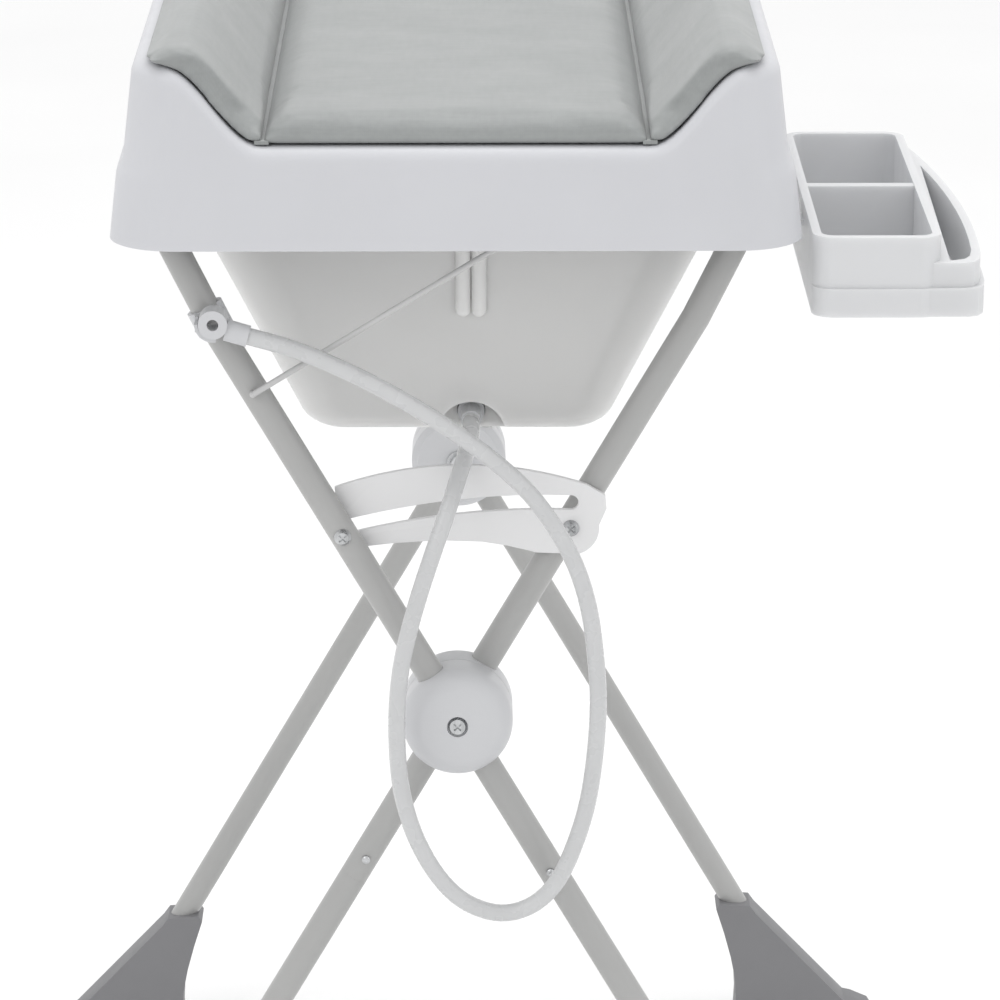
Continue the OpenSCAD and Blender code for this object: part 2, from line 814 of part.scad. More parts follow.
// The plug pulls out of the drain towards the rear, inside the bath
module drain_plug() {
    z = drain_z + hub_height;
    y0 = recess_hi[1] + bath_wall + 2.3;
    color(boot_grey) {
        bar_y(drain_x, z, y0 - 12, y0 + 1, 9 - 2 * running);
        bar_y(drain_x, z, y0, y0 + 3, drain_disc_d - 1);
        bar_y(drain_x, z, y0 + 2.9, y0 + 9, 6);
        bar_y(drain_x, z, y0 + 8.9, y0 + 12, 12);
    }
}

// --- top -----------------------------------------------------------------

// Smooth step from 0 to 1
function ease(t) = (1 - cos(180 * t)) / 2;

side_in = 23;
edge_w = top_w / 2 - 19;
rise_steps = 10;
// Right half of the dish, from the middle outwards
function dish(drop) = concat(
    [[dish_w / 2, dish_z - drop]],
    [for (i = [1 : rise_steps]) let (t = i / rise_steps)
        [dish_w / 2 + t * (edge_w - side_in + 3 - dish_w / 2),
         dish_z + ease(t) * (top_z - 2 - dish_z) - drop]]);

// Right half of the outside, from the lower edge up
function skirt(inset) = [
    [top_w / 2 - inset, top_bottom - (inset > 0 ? 1 : 0)],
    [top_w / 2 - 5.5 - inset, top_bottom + 48],
    [top_w / 2 - 10 - inset, top_bottom + 56],
    [top_w / 2 - 18 - inset, top_z - 9 - inset / 2],
    [top_w / 2 - 21 - inset, top_z - 2 - inset],
    [top_w / 2 - 26 - inset / 2, top_z - inset]];

function flipped(pts) = [for (i = [len(pts) - 1 : -1 : 0]) [-pts[i][0], pts[i][1]]];
function rev(pts) = [for (i = [len(pts) - 1 : -1 : 0]) pts[i]];

module top_section(inset) {
    right = concat(skirt(inset), rev(dish(inset)));
    polygon(concat(right, flipped(right)));
}

module top_block(inset) {
    half = top_len / 2 - inset;
    intersection() {
        along_y(-half, half) top_section(inset);
        translate([0, 0, top_bottom - 2]) linear_extrude(height = top_h + 10)
            round_rect([-top_w / 2 + inset, -half], [top_w / 2 - inset, half], top_corner - inset);
    }
}

// Lengthwise ribs that stand on the bath's rim
module top_ribs() {
    foot = rim_z + rim_t + 2.4;
    for (s = [-1, 1]) block([s * (rim_w - 14) - 1.5, -top_len / 2 + 40, foot],
                            [s * (rim_w - 14) + 1.5, top_len / 2 - 40, top_z]);
}

// Knuckles on the left skirt, one at each side of each hinge lug
module top_knuckle(y) {
    difference() {
        union() {
            bar_y(hinge[0], hinge[2], y - 5, y + 5, 9);
            block([-top_w / 2 + 1.5, y - 5, hinge[2] - 3], [hinge[0], y + 5, hinge[2] + 4.5]);
        }
        bar_y(hinge[0], hinge[2], y - 6, y + 6, hinge_pin_d + 2 * snug);
    }
}

// Track under which the tip of the stay runs, inside the front skirt
module stay_track() {
    z0 = hub_height + stay_tip[2] + stay_d / 2 + 0.5;
    block([hinge[0] + 78, -top_len / 2 + 1, z0], [stay_tip[0] + 14, -plane_y - 16, z0 + 3]);
}

module changing_top() {
    knuckle_off = hinge_lug_w / 2 + 5.4;
    color(white) {
        difference() {
            top_block(0);
            difference() {
                top_block(top_wall);
                top_ribs();
                stay_track();
            }
            for (y = stud_y) translate([0, y, dish_z - top_wall - 2])
                cylinder(h = top_wall + 4, d = stud_d + 2 * snug);
        }
        intersection() {
            top_block(1);
            for (y = [-hinge_y, hinge_y], s = [-1, 1]) top_knuckle(y + s * knuckle_off);
        }
        for (y = [-hinge_y, hinge_y], s = [-1, 1]) top_knuckle(y + s * knuckle_off);
    }
}

module hinge_pins() {
    half = hinge_lug_w / 2 + 10.4;
    color("silver") for (y = [-hinge_y, hinge_y])
        bar_y(hinge[0], hinge[2], y - half, y + half, hinge_pin_d);
}

// Soft bumpers between the ribs of the top and the bath's rim
module top_bumpers() {
    z0 = rim_z + rim_t + 0.1;
    color([0.35, 0.36, 0.38])
    for (s = [-1, 1], y = [-200, 0, 200])
        block([s * (rim_w - 14) - 5, y - 9, z0], [s * (rim_w - 14) + 5, y + 9, z0 + 2.2]);
}

// --- pad -----------------------------------------------------------------

pad_half = top_len / 2 - 6;
pad_gap = 1;
stud_y = [-250, 0, 250];
stud_d = 10;

module pad_middle() {
    color(pad_grey) along_y(-pad_half, pad_half)
        round_rect([-dish_w / 2 + pad_gap, dish_z + 0.5], [dish_w / 2 - pad_gap, dish_z + pad_t],
                   6);
}

module pad_side() {
    low = [for (i = [0 : rise_steps]) let (t = i / rise_steps)
        [dish_w / 2 + pad_gap + t * (edge_w - side_in + 2 - dish_w / 2),
         dish_z + ease(t) * (top_z - 2 - dish_z) + 1.2]];
    color(pad_grey) along_y(-pad_half, pad_half) polygon(concat(
        low,
        [[edge_w - 8, top_z + 0.5], [edge_w - 6, top_z + 6], [edge_w - 11, top_z + 12],
         [edge_w - 22, top_z + 12], [dish_w / 2 + 46, dish_z + 46],
         [dish_w / 2 + 10, dish_z + pad_t + 4], [dish_w / 2 + pad_gap, dish_z + pad_t - 4]]));
}

module pad_side_right() { pad_side(); }
module pad_side_left() { mirror([1, 0, 0]) pad_side(); }

// Studs that hold the pad in the dish
module pad_studs() {
    color(white) for (y = stud_y)
        translate([0, y, dish_z - top_wall - 2]) cylinder(h = 2 + top_wall + 0.4, d = stud_d);
}

// --- caddy ---------------------------------------------------------------

bulge_y = caddy_front + 65;
function bulge(y, inset) = caddy_out - inset - 36 * pow((y - bulge_y) / 250, 2);

// Plan of the pocket beside the box, with its bulging outer edge
module pocket_plan(inset) {
    y0 = caddy_front + inset;
    y1 = caddy_front + caddy_len - 13;
    polygon(concat(
        [[caddy_in + caddy_w - 8, y0], [caddy_out - inset - 14, y0],
         [caddy_out - inset - 7, y0 + 3], [caddy_out - inset - 3, y0 + 10]],
        [for (i = [0 : 12]) let (y = y0 + 24 + i * (y1 - y0 - 24) / 12) [bulge(y, inset), y]],
        [[caddy_in + caddy_w - 8, y1]]));
}

module box_plan(inset) {
    round_rect([caddy_in + inset, caddy_front + inset],
               [caddy_in + caddy_w - inset, caddy_front + caddy_len - inset], 15 - inset);
}

// Hook that drops into a staple of the bath's rim
module caddy_hook(y) {
    bridge = staple_z + 0.4;
    outer = rim_w + hook_room + 2.4;
    half = hook_w / 2;
    block([rim_w + 0.9, y - half, staple_z - 6], [rim_w + hook_room - 0.4, y + half, bridge + 3]);
    block([rim_w + 0.9, y - half, bridge], [outer + 2.2, y + half, bridge + 3]);
    block([outer, y - half, caddy_top - 16], [outer + 2.2, y + half, bridge + 3]);
    block([outer, y - half, caddy_top - 16], [caddy_in + 1, y + half, caddy_top - 12]);
}

module caddy() {
    w = caddy_wall;
    divider = caddy_front + caddy_len * 0.49;
    flange_h = 20;
    pocket_low = caddy_bottom + caddy_h * 0.66;
    cut_z = (caddy_top - pocket_low) / caddy_len;
    color(white) {
        difference() {
            union() {
                translate([0, 0, caddy_bottom]) linear_extrude(height = caddy_h) box_plan(0);
                translate([0, 0, caddy_bottom]) linear_extrude(height = flange_h) {
                    translate([0, -2]) box_plan(0);
                    pocket_plan(0);
                }
                intersection() {
                    translate([0, 0, caddy_bottom]) linear_extrude(height = caddy_h)
                        pocket_plan(3);
                    pocket_wedge();
                }
            }
            difference() {
                translate([0, 0, caddy_bottom + w]) linear_extrude(height = caddy_h) box_plan(w);
                block([0, divider - 5, 0], [caddy_out, divider + 5, caddy_top - 1]);
            }
            translate([0, 0, caddy_bottom + w]) linear_extrude(height = caddy_h) difference() {
                pocket_plan(3 + w);
                translate([-50, caddy_front - 5])
                    square([caddy_in + caddy_w + 50 + w, caddy_len + 10]);
            }
        }
        for (y = hook_y) caddy_hook(y);
    }
}

// Space under the sloping rim of the pocket
module pocket_wedge() {
    y0 = caddy_front - 5;
    y1 = caddy_front + caddy_len + 5;
    translate([caddy_in, 0, 0]) rotate([90, 0, 90]) linear_extrude(height = 200)
        polygon([[y0, caddy_bottom - 5], [y1, caddy_bottom - 5], [y1, caddy_top],
                 [y0, caddy_bottom + caddy_h * 0.66]]);
}

rail_left();
rail_right();
corners_left();
corners_right();
upper_leg_a_front();
upper_leg_a_rear();
upper_leg_b_front();
upper_leg_b_rear();
lower_leg_a_front();
lower_leg_a_rear();
lower_leg_b_front();
lower_leg_b_rear();
boot_a_front();
boot_a_rear();
boot_b_front();
boot_b_rear();
soles_a();
soles_b();
button_a_front();
button_a_rear();
button_b_front();
button_b_rear();
button_springs_a();
button_springs_b();
hub_shell_a_front();
hub_shell_a_rear();
hub_shell_b_front();
hub_shell_b_rear();
hub_bolts();
hub_nuts();
hub_washers();
link_plate();
link_pivot_screw();
link_slot_screw();
hose_clip();
hose_fitting();
drain_hose();
bath_pan();
bath_sides();
bath_ends();
bath_corners();
bath_rim();
drain_spigot();
drain_seal();
drain_plug();
hinge_pins();
changing_top();
top_bumpers();
stay_wire();
pad_middle();
pad_side_left();
pad_side_right();
pad_studs();
caddy();
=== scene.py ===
# %% [markdown]
# A changing table is a folding stand, a bath that hangs in it and a padded lid over the bath.
# The working model of it already exists as a frame of solids in metres. This lesson dresses that
# frame: it gives each visible piece its real shape and its real finish, and moves nothing.

# %% Load the frame
import math

import bmesh
import bpy
from mathutils import Matrix, Vector


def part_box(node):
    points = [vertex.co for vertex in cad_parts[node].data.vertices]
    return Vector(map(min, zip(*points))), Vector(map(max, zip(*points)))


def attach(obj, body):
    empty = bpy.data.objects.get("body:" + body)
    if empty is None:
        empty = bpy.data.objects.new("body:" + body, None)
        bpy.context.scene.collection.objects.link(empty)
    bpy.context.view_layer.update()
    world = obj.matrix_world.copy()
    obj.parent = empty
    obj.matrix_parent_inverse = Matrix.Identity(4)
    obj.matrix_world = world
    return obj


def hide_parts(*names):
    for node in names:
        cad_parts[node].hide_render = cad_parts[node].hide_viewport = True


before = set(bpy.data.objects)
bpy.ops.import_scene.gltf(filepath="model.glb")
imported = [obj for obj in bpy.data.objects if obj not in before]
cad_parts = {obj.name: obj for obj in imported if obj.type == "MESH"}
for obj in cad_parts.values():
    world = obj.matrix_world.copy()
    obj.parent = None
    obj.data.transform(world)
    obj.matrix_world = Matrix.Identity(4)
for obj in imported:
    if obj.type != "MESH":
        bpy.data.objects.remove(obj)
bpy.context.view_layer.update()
MM = 0.001

# %% [markdown]
# The camera comes first, because it decides what is worth detail. It stands far back and above the
# pad, and looks down at the short end. A long lens keeps the legs nearly parallel.

# %% Camera
CAMERA_AT = (0.008, -3.555, 1.665)
LOOK_DOWN = 17.0
LOOK_RIGHT = 0.39
camera_data = bpy.data.cameras.new("camera")
camera_data.lens = 174.2
camera_data.sensor_width = 36.0
camera = bpy.data.objects.new("camera", camera_data)
camera.location = CAMERA_AT
camera.rotation_euler = (math.radians(90 - LOOK_DOWN), 0, math.radians(-LOOK_RIGHT))
bpy.context.scene.collection.objects.link(camera)
bpy.context.scene.camera = camera
print("camera at", CAMERA_AT)

# %% [markdown]
# Every finish here is built from the same few nodes: a noise that breaks up the colour, a noise
# that breaks up the gloss, and a fine bump. One helper sets up the shader and hands back small
# functions for those, so that each finish below only says what is special about it.

# %% A finish and its parts
class Finish:
    """A material with a Principled shader, and short ways to feed its sockets."""

    def __init__(self, name):
        self.material = bpy.data.materials.new(name)
        self.material.use_nodes = True
        self.tree = self.material.node_tree
        self.shader = self.tree.nodes["Principled BSDF"]
        self.place = self.tree.nodes.new("ShaderNodeTexCoord").outputs["Object"]

    def node(self, kind, **values):
        made = self.tree.nodes.new(kind)
        for key, value in values.items():
            made.inputs[key.replace("_", " ")].default_value = value
        return made

    def link(self, out, into):
        self.tree.links.new(out, into)

    def constant(self, **values):
        for key, value in values.items():
            self.shader.inputs[key.replace("_", " ")].default_value = value

    def noise(self, scale, detail=3.0, stretch=(1, 1, 1)):
        mapping = self.node("ShaderNodeMapping", Scale=stretch)
        self.link(self.place, mapping.inputs["Vector"])
        made = self.node("ShaderNodeTexNoise", Scale=scale, Detail=detail)
        self.link(mapping.outputs["Vector"], made.inputs["Vector"])
        return made.outputs["Fac"]

    def ramp(self, factor, stops):
        made = self.node("ShaderNodeValToRGB")
        ends = made.color_ramp.elements
        while len(ends) < len(stops):
            ends.new(0.5)
        for element, (at, colour) in zip(ends, stops):
            element.position = at
            element.color = (*colour, 1)
        self.link(factor, made.inputs["Fac"])
        return made.outputs["Color"]

    def spread(self, factor, low, high):
        made = self.node("ShaderNodeMapRange", From_Min=0.3, From_Max=0.7, To_Min=low, To_Max=high)
        self.link(factor, made.inputs["Value"])
        return made.outputs["Result"]

    def maths(self, operation, a, b):
        made = self.tree.nodes.new("ShaderNodeMath")
        made.operation = operation
        for socket, value in zip(made.inputs, (a, b)):
            if isinstance(value, (int, float)):
                socket.default_value = value
            else:
                self.link(value, socket)
        return made.outputs["Value"]

    def bump(self, height, distance, strength=1.0, below=None):
        made = self.node("ShaderNodeBump", Distance=distance, Strength=strength)
        self.link(height, made.inputs["Height"])
        if below is not None:
            self.link(below, made.inputs["Normal"])
        return made.outputs["Normal"]

    def colour(self, out):
        self.link(out, self.shader.inputs["Base Color"])

    def rough(self, out):
        self.link(out, self.shader.inputs["Roughness"])

    def normal(self, out):
        self.link(out, self.shader.inputs["Normal"])


def tint(colour, share):
    """The same colour, darker or lighter."""
    return tuple(min(1.0, c * share) for c in colour)


# %% [markdown]
# The top, the caddy and the hubs are injection moulded or blown plastic. The mould is lightly
# eroded, so the surface has a fine grain and a soft shine. A very slow, low wave under the grain
# stands for the sink marks and waviness that large mouldings have.

# %% Moulded plastics
EVEN = (1.0, 1.0, 1.0)


def moulded(name, colour, gloss=(0.36, 0.46), grain=0.00006, wave=0.0004, see_through=0.0):
    finish = Finish(name)
    mottle = finish.noise(9, 4)
    finish.colour(finish.ramp(mottle, [(0.35, tint(colour, 0.97)), (0.65, colour)]))
    finish.rough(finish.spread(finish.noise(45, 3), *gloss))
    low = finish.bump(finish.noise(11, 1), wave, 0.5)
    finish.normal(finish.bump(finish.noise(1400, 2), grain, 0.6, low))
    finish.constant(IOR=1.49, Subsurface_Weight=see_through, Subsurface_Scale=0.01,
                    Subsurface_Radius=EVEN)
    return finish.material


TOP_WHITE = (0.565, 0.57, 0.595)
top_plastic = moulded("moulded_top_plastic", TOP_WHITE, see_through=0.08)
hub_plastic = moulded("hub_plastic", (0.56, 0.565, 0.58), gloss=(0.3, 0.42), wave=0.0002)
boot_plastic = moulded("boot_plastic", (0.20, 0.20, 0.208), gloss=(0.5, 0.62), grain=0.00012)
rubber = moulded("dark_rubber", (0.06, 0.06, 0.065), gloss=(0.6, 0.75), grain=0.0001)
caddy_plastic = moulded("moulded_caddy_plastic", (0.62, 0.625, 0.635), see_through=0.45)
# The link is moulded in the hubs' plastic. Its colour is painted lighter than the hubs' to offset
# the shade it sits in: painted light.
link_plastic_painted_lighter = moulded("link_plastic_painted_lighter", (0.73, 0.73, 0.735), gloss=(0.3, 0.42), wave=0.0002)
print("moulded plastics made")

# %% [markdown]
# The bath is the same kind of plastic with less pigment: milky, so light gets in and scatters.
# Subsurface scattering gives that. Full transparency would show the inside too clearly.

# %% Milky bath plastic
def milky(name, colour):
    finish = Finish(name)
    finish.colour(finish.ramp(finish.noise(6, 3), [(0.3, tint(colour, 0.95)), (0.7, colour)]))
    finish.rough(finish.spread(finish.noise(30, 3), 0.28, 0.4))
    low = finish.bump(finish.noise(8, 2), 0.0008, 0.5)
    finish.normal(finish.bump(finish.noise(700, 2), 0.00005, 0.5, low))
    finish.constant(IOR=1.5, Subsurface_Weight=0.5, Subsurface_Scale=0.02, Subsurface_Radius=EVEN,
                    Transmission_Weight=0.1, Coat_Weight=0.15, Coat_Roughness=0.2)
    return finish.material


bath_plastic = milky("milky_bath_plastic", (0.80, 0.80, 0.79))

# %% [markdown]
# The tubes are powder coated: the coat melts in an oven and dries with a faint orange-peel skin.
# Its colour is even, and the gloss varies a little where hands and cloths have been.

# %% Coated, plated and plastic-sheathed parts
def powder_coat(name, colour):
    finish = Finish(name)
    finish.colour(finish.ramp(finish.noise(14, 3), [(0.3, tint(colour, 0.95)), (0.7, colour)]))
    finish.rough(finish.spread(finish.noise(60, 4), 0.3, 0.44))
    finish.normal(finish.bump(finish.noise(620, 1), 0.00006, 0.5))
    finish.constant(IOR=1.5, Coat_Weight=0.2, Coat_Roughness=0.25)
    return finish.material


def plated(name, colour):
    finish = Finish(name)
    brushed = finish.noise(260, 3, (1, 1, 0.15))
    finish.colour(finish.ramp(brushed, [(0.3, tint(colour, 0.7)), (0.7, colour)]))
    finish.rough(finish.spread(brushed, 0.2, 0.38))
    finish.normal(finish.bump(brushed, 0.00003, 0.5))
    finish.constant(Metallic=1.0)
    return finish.material


def soft_pvc(name, colour):
    finish = Finish(name)
    finish.colour(finish.ramp(finish.noise(25, 2), [(0.3, tint(colour, 0.94)), (0.7, colour)]))
    finish.rough(finish.spread(finish.noise(80, 2), 0.22, 0.34))
    finish.normal(finish.bump(finish.noise(40, 1), 0.00008, 0.15))
    finish.constant(IOR=1.52, Subsurface_Weight=0.25, Subsurface_Scale=0.004,
                    Subsurface_Radius=EVEN, Coat_Weight=0.2)
    return finish.material


tube_paint = powder_coat("powder_coated_tube", (0.385, 0.385, 0.38))
wire_paint = powder_coat("coated_wire", (0.52, 0.52, 0.52))
zinc = plated("zinc_plated_steel", (0.62, 0.63, 0.64))
hose_pvc = soft_pvc("hose_pvc", (0.56, 0.565, 0.57))
print("paint, zinc and hose finishes made")

# %% [markdown]
# The pad's cover is a plain weave with a clear wipe-clean coat. Two sets of fine bands crossed at
# right angles make the weave, in height and a little in colour. A slow noise makes the cloth look
# handled, and a little sheen lifts it where it turns away.

# %% Woven cover
THREAD = 0.0014
WAVE_TURN = 20  # radians the wave node turns in a metre, at a scale of one


def woven(name, colour):
    finish = Finish(name)
    bands = []
    for direction in ("X", "Y"):
        wave = finish.node("ShaderNodeTexWave", Scale=math.tau / THREAD / WAVE_TURN,
                           Distortion=0.6, Detail=1.0)
        wave.bands_direction = direction
        finish.link(finish.place, wave.inputs["Vector"])
        bands.append(wave.outputs["Fac"])
    weave = finish.maths("MULTIPLY", bands[0], bands[1])
    slub = finish.maths("ADD", finish.noise(260, 2, (1, 0.15, 1)),
                        finish.noise(260, 2, (0.15, 1, 1)))
    mixed = finish.maths("ADD", finish.maths("MULTIPLY", weave, 0.1),
                         finish.maths("MULTIPLY", slub, 0.45))
    clouds = finish.maths("ADD", finish.maths("MULTIPLY", finish.noise(7, 3), 0.35), mixed)
    stops = [(0.25, tint(colour, 0.82)), (0.5, colour), (0.85, tint(colour, 1.12))]
    finish.colour(finish.ramp(clouds, stops))
    finish.rough(finish.spread(finish.noise(20, 3), 0.42, 0.56))
    folds = finish.bump(finish.noise(16, 2), 0.0012, 0.35)
    finish.normal(finish.bump(mixed, 0.00022, 0.7, folds))
    finish.constant(Sheen_Weight=0.25, Sheen_Roughness=0.4, Coat_Weight=0.12, Coat_Roughness=0.35)
    return finish.material


cover = woven("woven_pad_cover", (0.245, 0.256, 0.254))
print("woven cover made, thread", THREAD)

# %% [markdown]
# The drain hose is a plain soft tube. It is modelled as a curve with a round section, because a
# hose is one smooth line. The line leaves the drain forwards, drops behind the link, hangs in one
# long loop past the hub and climbs to its fitting on the left leg.

# %% Drain hose
HUB_AT = Vector((0, -0.335, 0.520))
HOSE_WIDE = 0.012
HOSE_ROUTE = [
    (10, 56, 202), (10, 42, 202), (10, 28, 201), (8, 14, 197), (5, 1, 190), (1, -11, 180),
    (-4, -22, 167), (-10, -30, 151), (-17, -36, 132), (-25, -40, 108), (-33, -42, 80),
    (-39, -42, 52),
    (-42, -42, 22), (-42, -42, -10), (-39, -42, -40), (-31, -42, -70), (-18, -42, -97),
    (-2, -42, -117), (16, -42, -128), (35, -42, -131), (54, -42, -124), (70, -42, -107),
    (82, -42, -80), (91, -42, -48), (96, -42, -12), (98, -42, 25), (96, -42, 60),
    (91, -41, 95), (82, -41, 125), (68, -40, 152), (50, -39, 177), (28, -38, 198),
    (2, -37, 218), (-26, -35, 236), (-56, -33, 253), (-86, -30, 267), (-114, -28, 278),
    (-142, -27, 286),
]


def smooth_line(points, steps):
    """Catmull-Rom points along a route, several to a stretch."""
    line = []
    for i in range(len(points) - 1):
        a, b = points[max(i - 1, 0)], points[i]
        c, d = points[i + 1], points[min(i + 2, len(points) - 1)]
        for k in range(steps):
            t = k / steps
            line.append(0.5 * ((2 * b) + (c - a) * t + (2 * a - 5 * b + 4 * c - d) * t * t
                               + (3 * b - a - 3 * c + d) * t * t * t))
    return line + [points[-1]]


def line_length(points):
    return sum((b - a).length for a, b in zip(points, points[1:]))


hose_line = smooth_line([HUB_AT + MM * Vector(p) for p in HOSE_ROUTE], 4)
hose_curve = bpy.data.curves.new("drain_hose", "CURVE")
hose_curve.dimensions = "3D"
spline = hose_curve.splines.new("POLY")
spline.points.add(len(hose_line) - 1)
for point, at in zip(spline.points, hose_line):
    point.co = (*at, 1)
spline.use_smooth = True
hose_curve.bevel_depth = HOSE_WIDE / 2
hose_curve.bevel_resolution = 6
hose_curve.use_fill_caps = True
hose = bpy.data.objects.new("hose_run", hose_curve)
bpy.context.scene.collection.objects.link(hose)
hose.data.materials.append(hose_pvc)
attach(hose, "bath")
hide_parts("drain_hose")
print("hose length", round(line_length(hose_line), 3))

# %% [markdown]
# Most pieces below are meshes built from lists of points, so a few helpers come next. `piece`
# makes an object from points and faces, shades it smooth but keeps real edges sharp, and fastens
# it to its body. `skin` closes stacked outlines, and `rounded_plan` walks round a plan with round
# corners.

# %% Mesh helpers
def piece(name, points, faces, material, body, slot, sharp=40, replaces=()):
    mesh = bpy.data.meshes.new(name)
    mesh.from_pydata([tuple(p) for p in points], [], faces)
    mesh.validate()
    return dress(name, mesh, material, body, sharp, replaces)


def turn_outwards(mesh):
    work = bmesh.new()
    work.from_mesh(mesh)
    bmesh.ops.recalc_face_normals(work, faces=work.faces[:])
    work.to_mesh(mesh)
    work.free()


def shade(mesh, sharp):
    for face in mesh.polygons:
        face.use_smooth = True
    mesh.set_sharp_from_angle(angle=math.radians(sharp))


def dress(name, mesh, material, body, sharp=40, replaces=()):
    turn_outwards(mesh)
    mesh.materials.clear()
    mesh.materials.append(material)
    shade(mesh, sharp)
    made = bpy.data.objects.new(name, mesh)
    bpy.context.scene.collection.objects.link(made)
    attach(made, body)
    if replaces:
        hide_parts(*replaces)
    return made


def skin(rings, cap_first=False, cap_last=False):
    """Faces between rings of equal count, given as one list of points each."""
    count = len(rings[0])
    points = [p for ring in rings for p in ring]
    faces = []
    for r in range(len(rings) - 1):
        for k in range(count):
            n = (k + 1) % count
            faces.append((r * count + k, r * count + n, (r + 1) * count + n, (r + 1) * count + k))
    if cap_first:
        faces.append(tuple(range(count))[::-1])
    if cap_last:
        faces.append(tuple((len(rings) - 1) * count + k for k in range(count)))
    return points, faces


def applied(made, *modifiers):
    """The mesh that modifiers leave, given as (kind, settings) pairs."""
    for kind, settings in modifiers:
        added = made.modifiers.new(kind.lower(), kind)
        for key, value in settings.items():
            setattr(added, key, value)
    graph = bpy.context.evaluated_depsgraph_get()
    graph.update()
    mesh = bpy.data.meshes.new_from_object(made.evaluated_get(graph))
    made.modifiers.clear()
    made.data = mesh
    return made


def rounded_plan(steps_x, steps_y, steps_corner):
    """Directions round a rectangle with round corners, as (a, b, c, s) shares."""
    shares = []
    for quarter, (sx, sy) in enumerate([(1, 1), (-1, 1), (-1, -1), (1, -1)]):
        for k in range(steps_corner + 1):
            turn = math.radians(90 * (quarter + k / steps_corner))
            shares.append((sx, sy, math.cos(turn), math.sin(turn)))
        steps = steps_x if quarter % 2 == 0 else steps_y
        turn = math.radians(90 * (quarter + 1))
        for k in range(1, steps):
            t = 1 - 2 * k / steps
            a, b = (sx * t, sy) if quarter % 2 == 0 else (sx, sy * t)
            shares.append((a, b, math.cos(turn), math.sin(turn)))
    return shares


def plan_point(share, half_w, half_l, radius):
    a, b, c, s = share
    return a * (half_w - radius) + radius * c, b * (half_l - radius) + radius * s


# %% [markdown]
# The changing top is one large moulding: a skirt that hides the bath's rim, two raised sides, and a
# dish between them. Seen from the end, its upper edge runs down an S-curve into the dish. It is
# built from rings round the plan. Each ring takes its height from that S-curve, so the skirt, the
# rolled edge and the dish are one smooth skin, which is then given its wall.

# %% Changing top
top_low, top_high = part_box("changing_top")
pad_low, pad_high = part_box("pad_middle")
TOP_HALF_W = top_high.x
TOP_HALF_L = top_high.y
TOP_BOTTOM = top_low.z
TOP_EDGE = top_high.z
DISH_Z = pad_low.z - 0.5 * MM
DISH_HALF = pad_high.x + 1 * MM
SLOPE_END = TOP_HALF_W - 39 * MM
TOP_ROLL = 11 * MM
TOP_WALL = 3 * MM
TOP_CORNER = 46 * MM
EDGE_INSET = 24 * MM
RISES = (0, 0.06, 0.14, 0.22, 0.30, 0.36, 0.40, 0.44, 0.48, 0.54, 0.62, 0.70, 0.78, 0.86, 0.93)


def smooth_step(t):
    t = min(1.0, max(0.0, t))
    return (1 - math.cos(math.pi * t)) / 2


def dish_height(x):
    t = (abs(x) - DISH_HALF) / (SLOPE_END - DISH_HALF)
    return DISH_Z + smooth_step(t) * (TOP_EDGE - DISH_Z)


def skirt_inset(z, sideways):
    """How far the skirt stands in from its lower edge, at a height; the step is on the sides."""
    up = (z - TOP_BOTTOM) / MM
    lean = 0.115 * up if sideways else 0.05 * up
    step = 3.6 * smooth_step((up - 47) / 9)
    return MM * (lean + step * (1.0 if sideways else 0.0))


def top_rings():
    """Rings up the skirt, over the rolled edge and in across the dish."""
    plan = rounded_plan(72, 44, 12)
    rings = []

    def ring(rise, inset_more, drop):
        points = []
        for share in plan:
            side = min(1.0, abs(share[2]) + (1.0 if abs(share[1]) < 1 else 0.0))
            edge_x = plan_point(share, TOP_HALF_W - EDGE_INSET, TOP_HALF_L, TOP_CORNER)[0]
            height = dish_height(edge_x) - TOP_ROLL
            z = TOP_BOTTOM + rise * (height - TOP_BOTTOM)
            deep = side * skirt_inset(z, True) + (1 - side) * skirt_inset(z, False)
            deep_y = skirt_inset(z, False)
            x, y = plan_point(share, TOP_HALF_W - deep - inset_more,
                              TOP_HALF_L - deep_y - inset_more,
                              max(TOP_CORNER - inset_more, 3 * MM))
            if rise >= 1:
                z = dish_height(x) - TOP_ROLL + drop
            points.append(Vector((x, y, z)))
        rings.append(points)

    for rise in RISES:
        ring(rise, 0, 0)
    for k in range(7):
        turn = math.radians(90 * k / 6)
        ring(1, TOP_ROLL * (1 - math.cos(turn)), TOP_ROLL * math.sin(turn))
    inset = TOP_ROLL
    while inset < TOP_HALF_W - 60 * MM:
        inset += 5 * MM if inset < 95 * MM else 18 * MM
        ring(1, inset, TOP_ROLL)
    return rings


def with_wall(name, points, faces, wall, material):
    """A skin given a wall on its inner side."""
    made = piece(name, points, faces, material, "top", "top_plastic")
    return applied(made, ("SOLIDIFY", {"thickness": wall, "offset": -1}))


points, faces = skin(top_rings(), cap_last=True)
top_shell = with_wall("top_shell", points, faces, TOP_WALL, top_plastic)
shade(top_shell.data, 50)
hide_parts("changing_top")
print("top shell faces", len(top_shell.data.polygons))

# %% [markdown]
# Three parts of the top show only from below or when it is open: the ribs that stop it on the rim,
# the knuckles of its hinge and the track for the wire stay. They are small mouldings with eased
# edges, so each is a box or a barrel with a bevel.

# %% Ribs, knuckles and track under the top
def eased_box(work, low, high):
    size = high - low
    made = bmesh.ops.create_cube(work, size=1.0)["verts"]
    bmesh.ops.scale(work, vec=size, verts=made)
    bmesh.ops.translate(work, vec=(low + high) / 2, verts=made)


def barrel(work, centre, length, radius):
    turn = Matrix.Rotation(math.radians(90), 4, "X")
    bmesh.ops.create_cone(work, cap_ends=True, segments=40, radius1=radius, radius2=radius,
                          depth=length, matrix=Matrix.Translation(centre) @ turn)


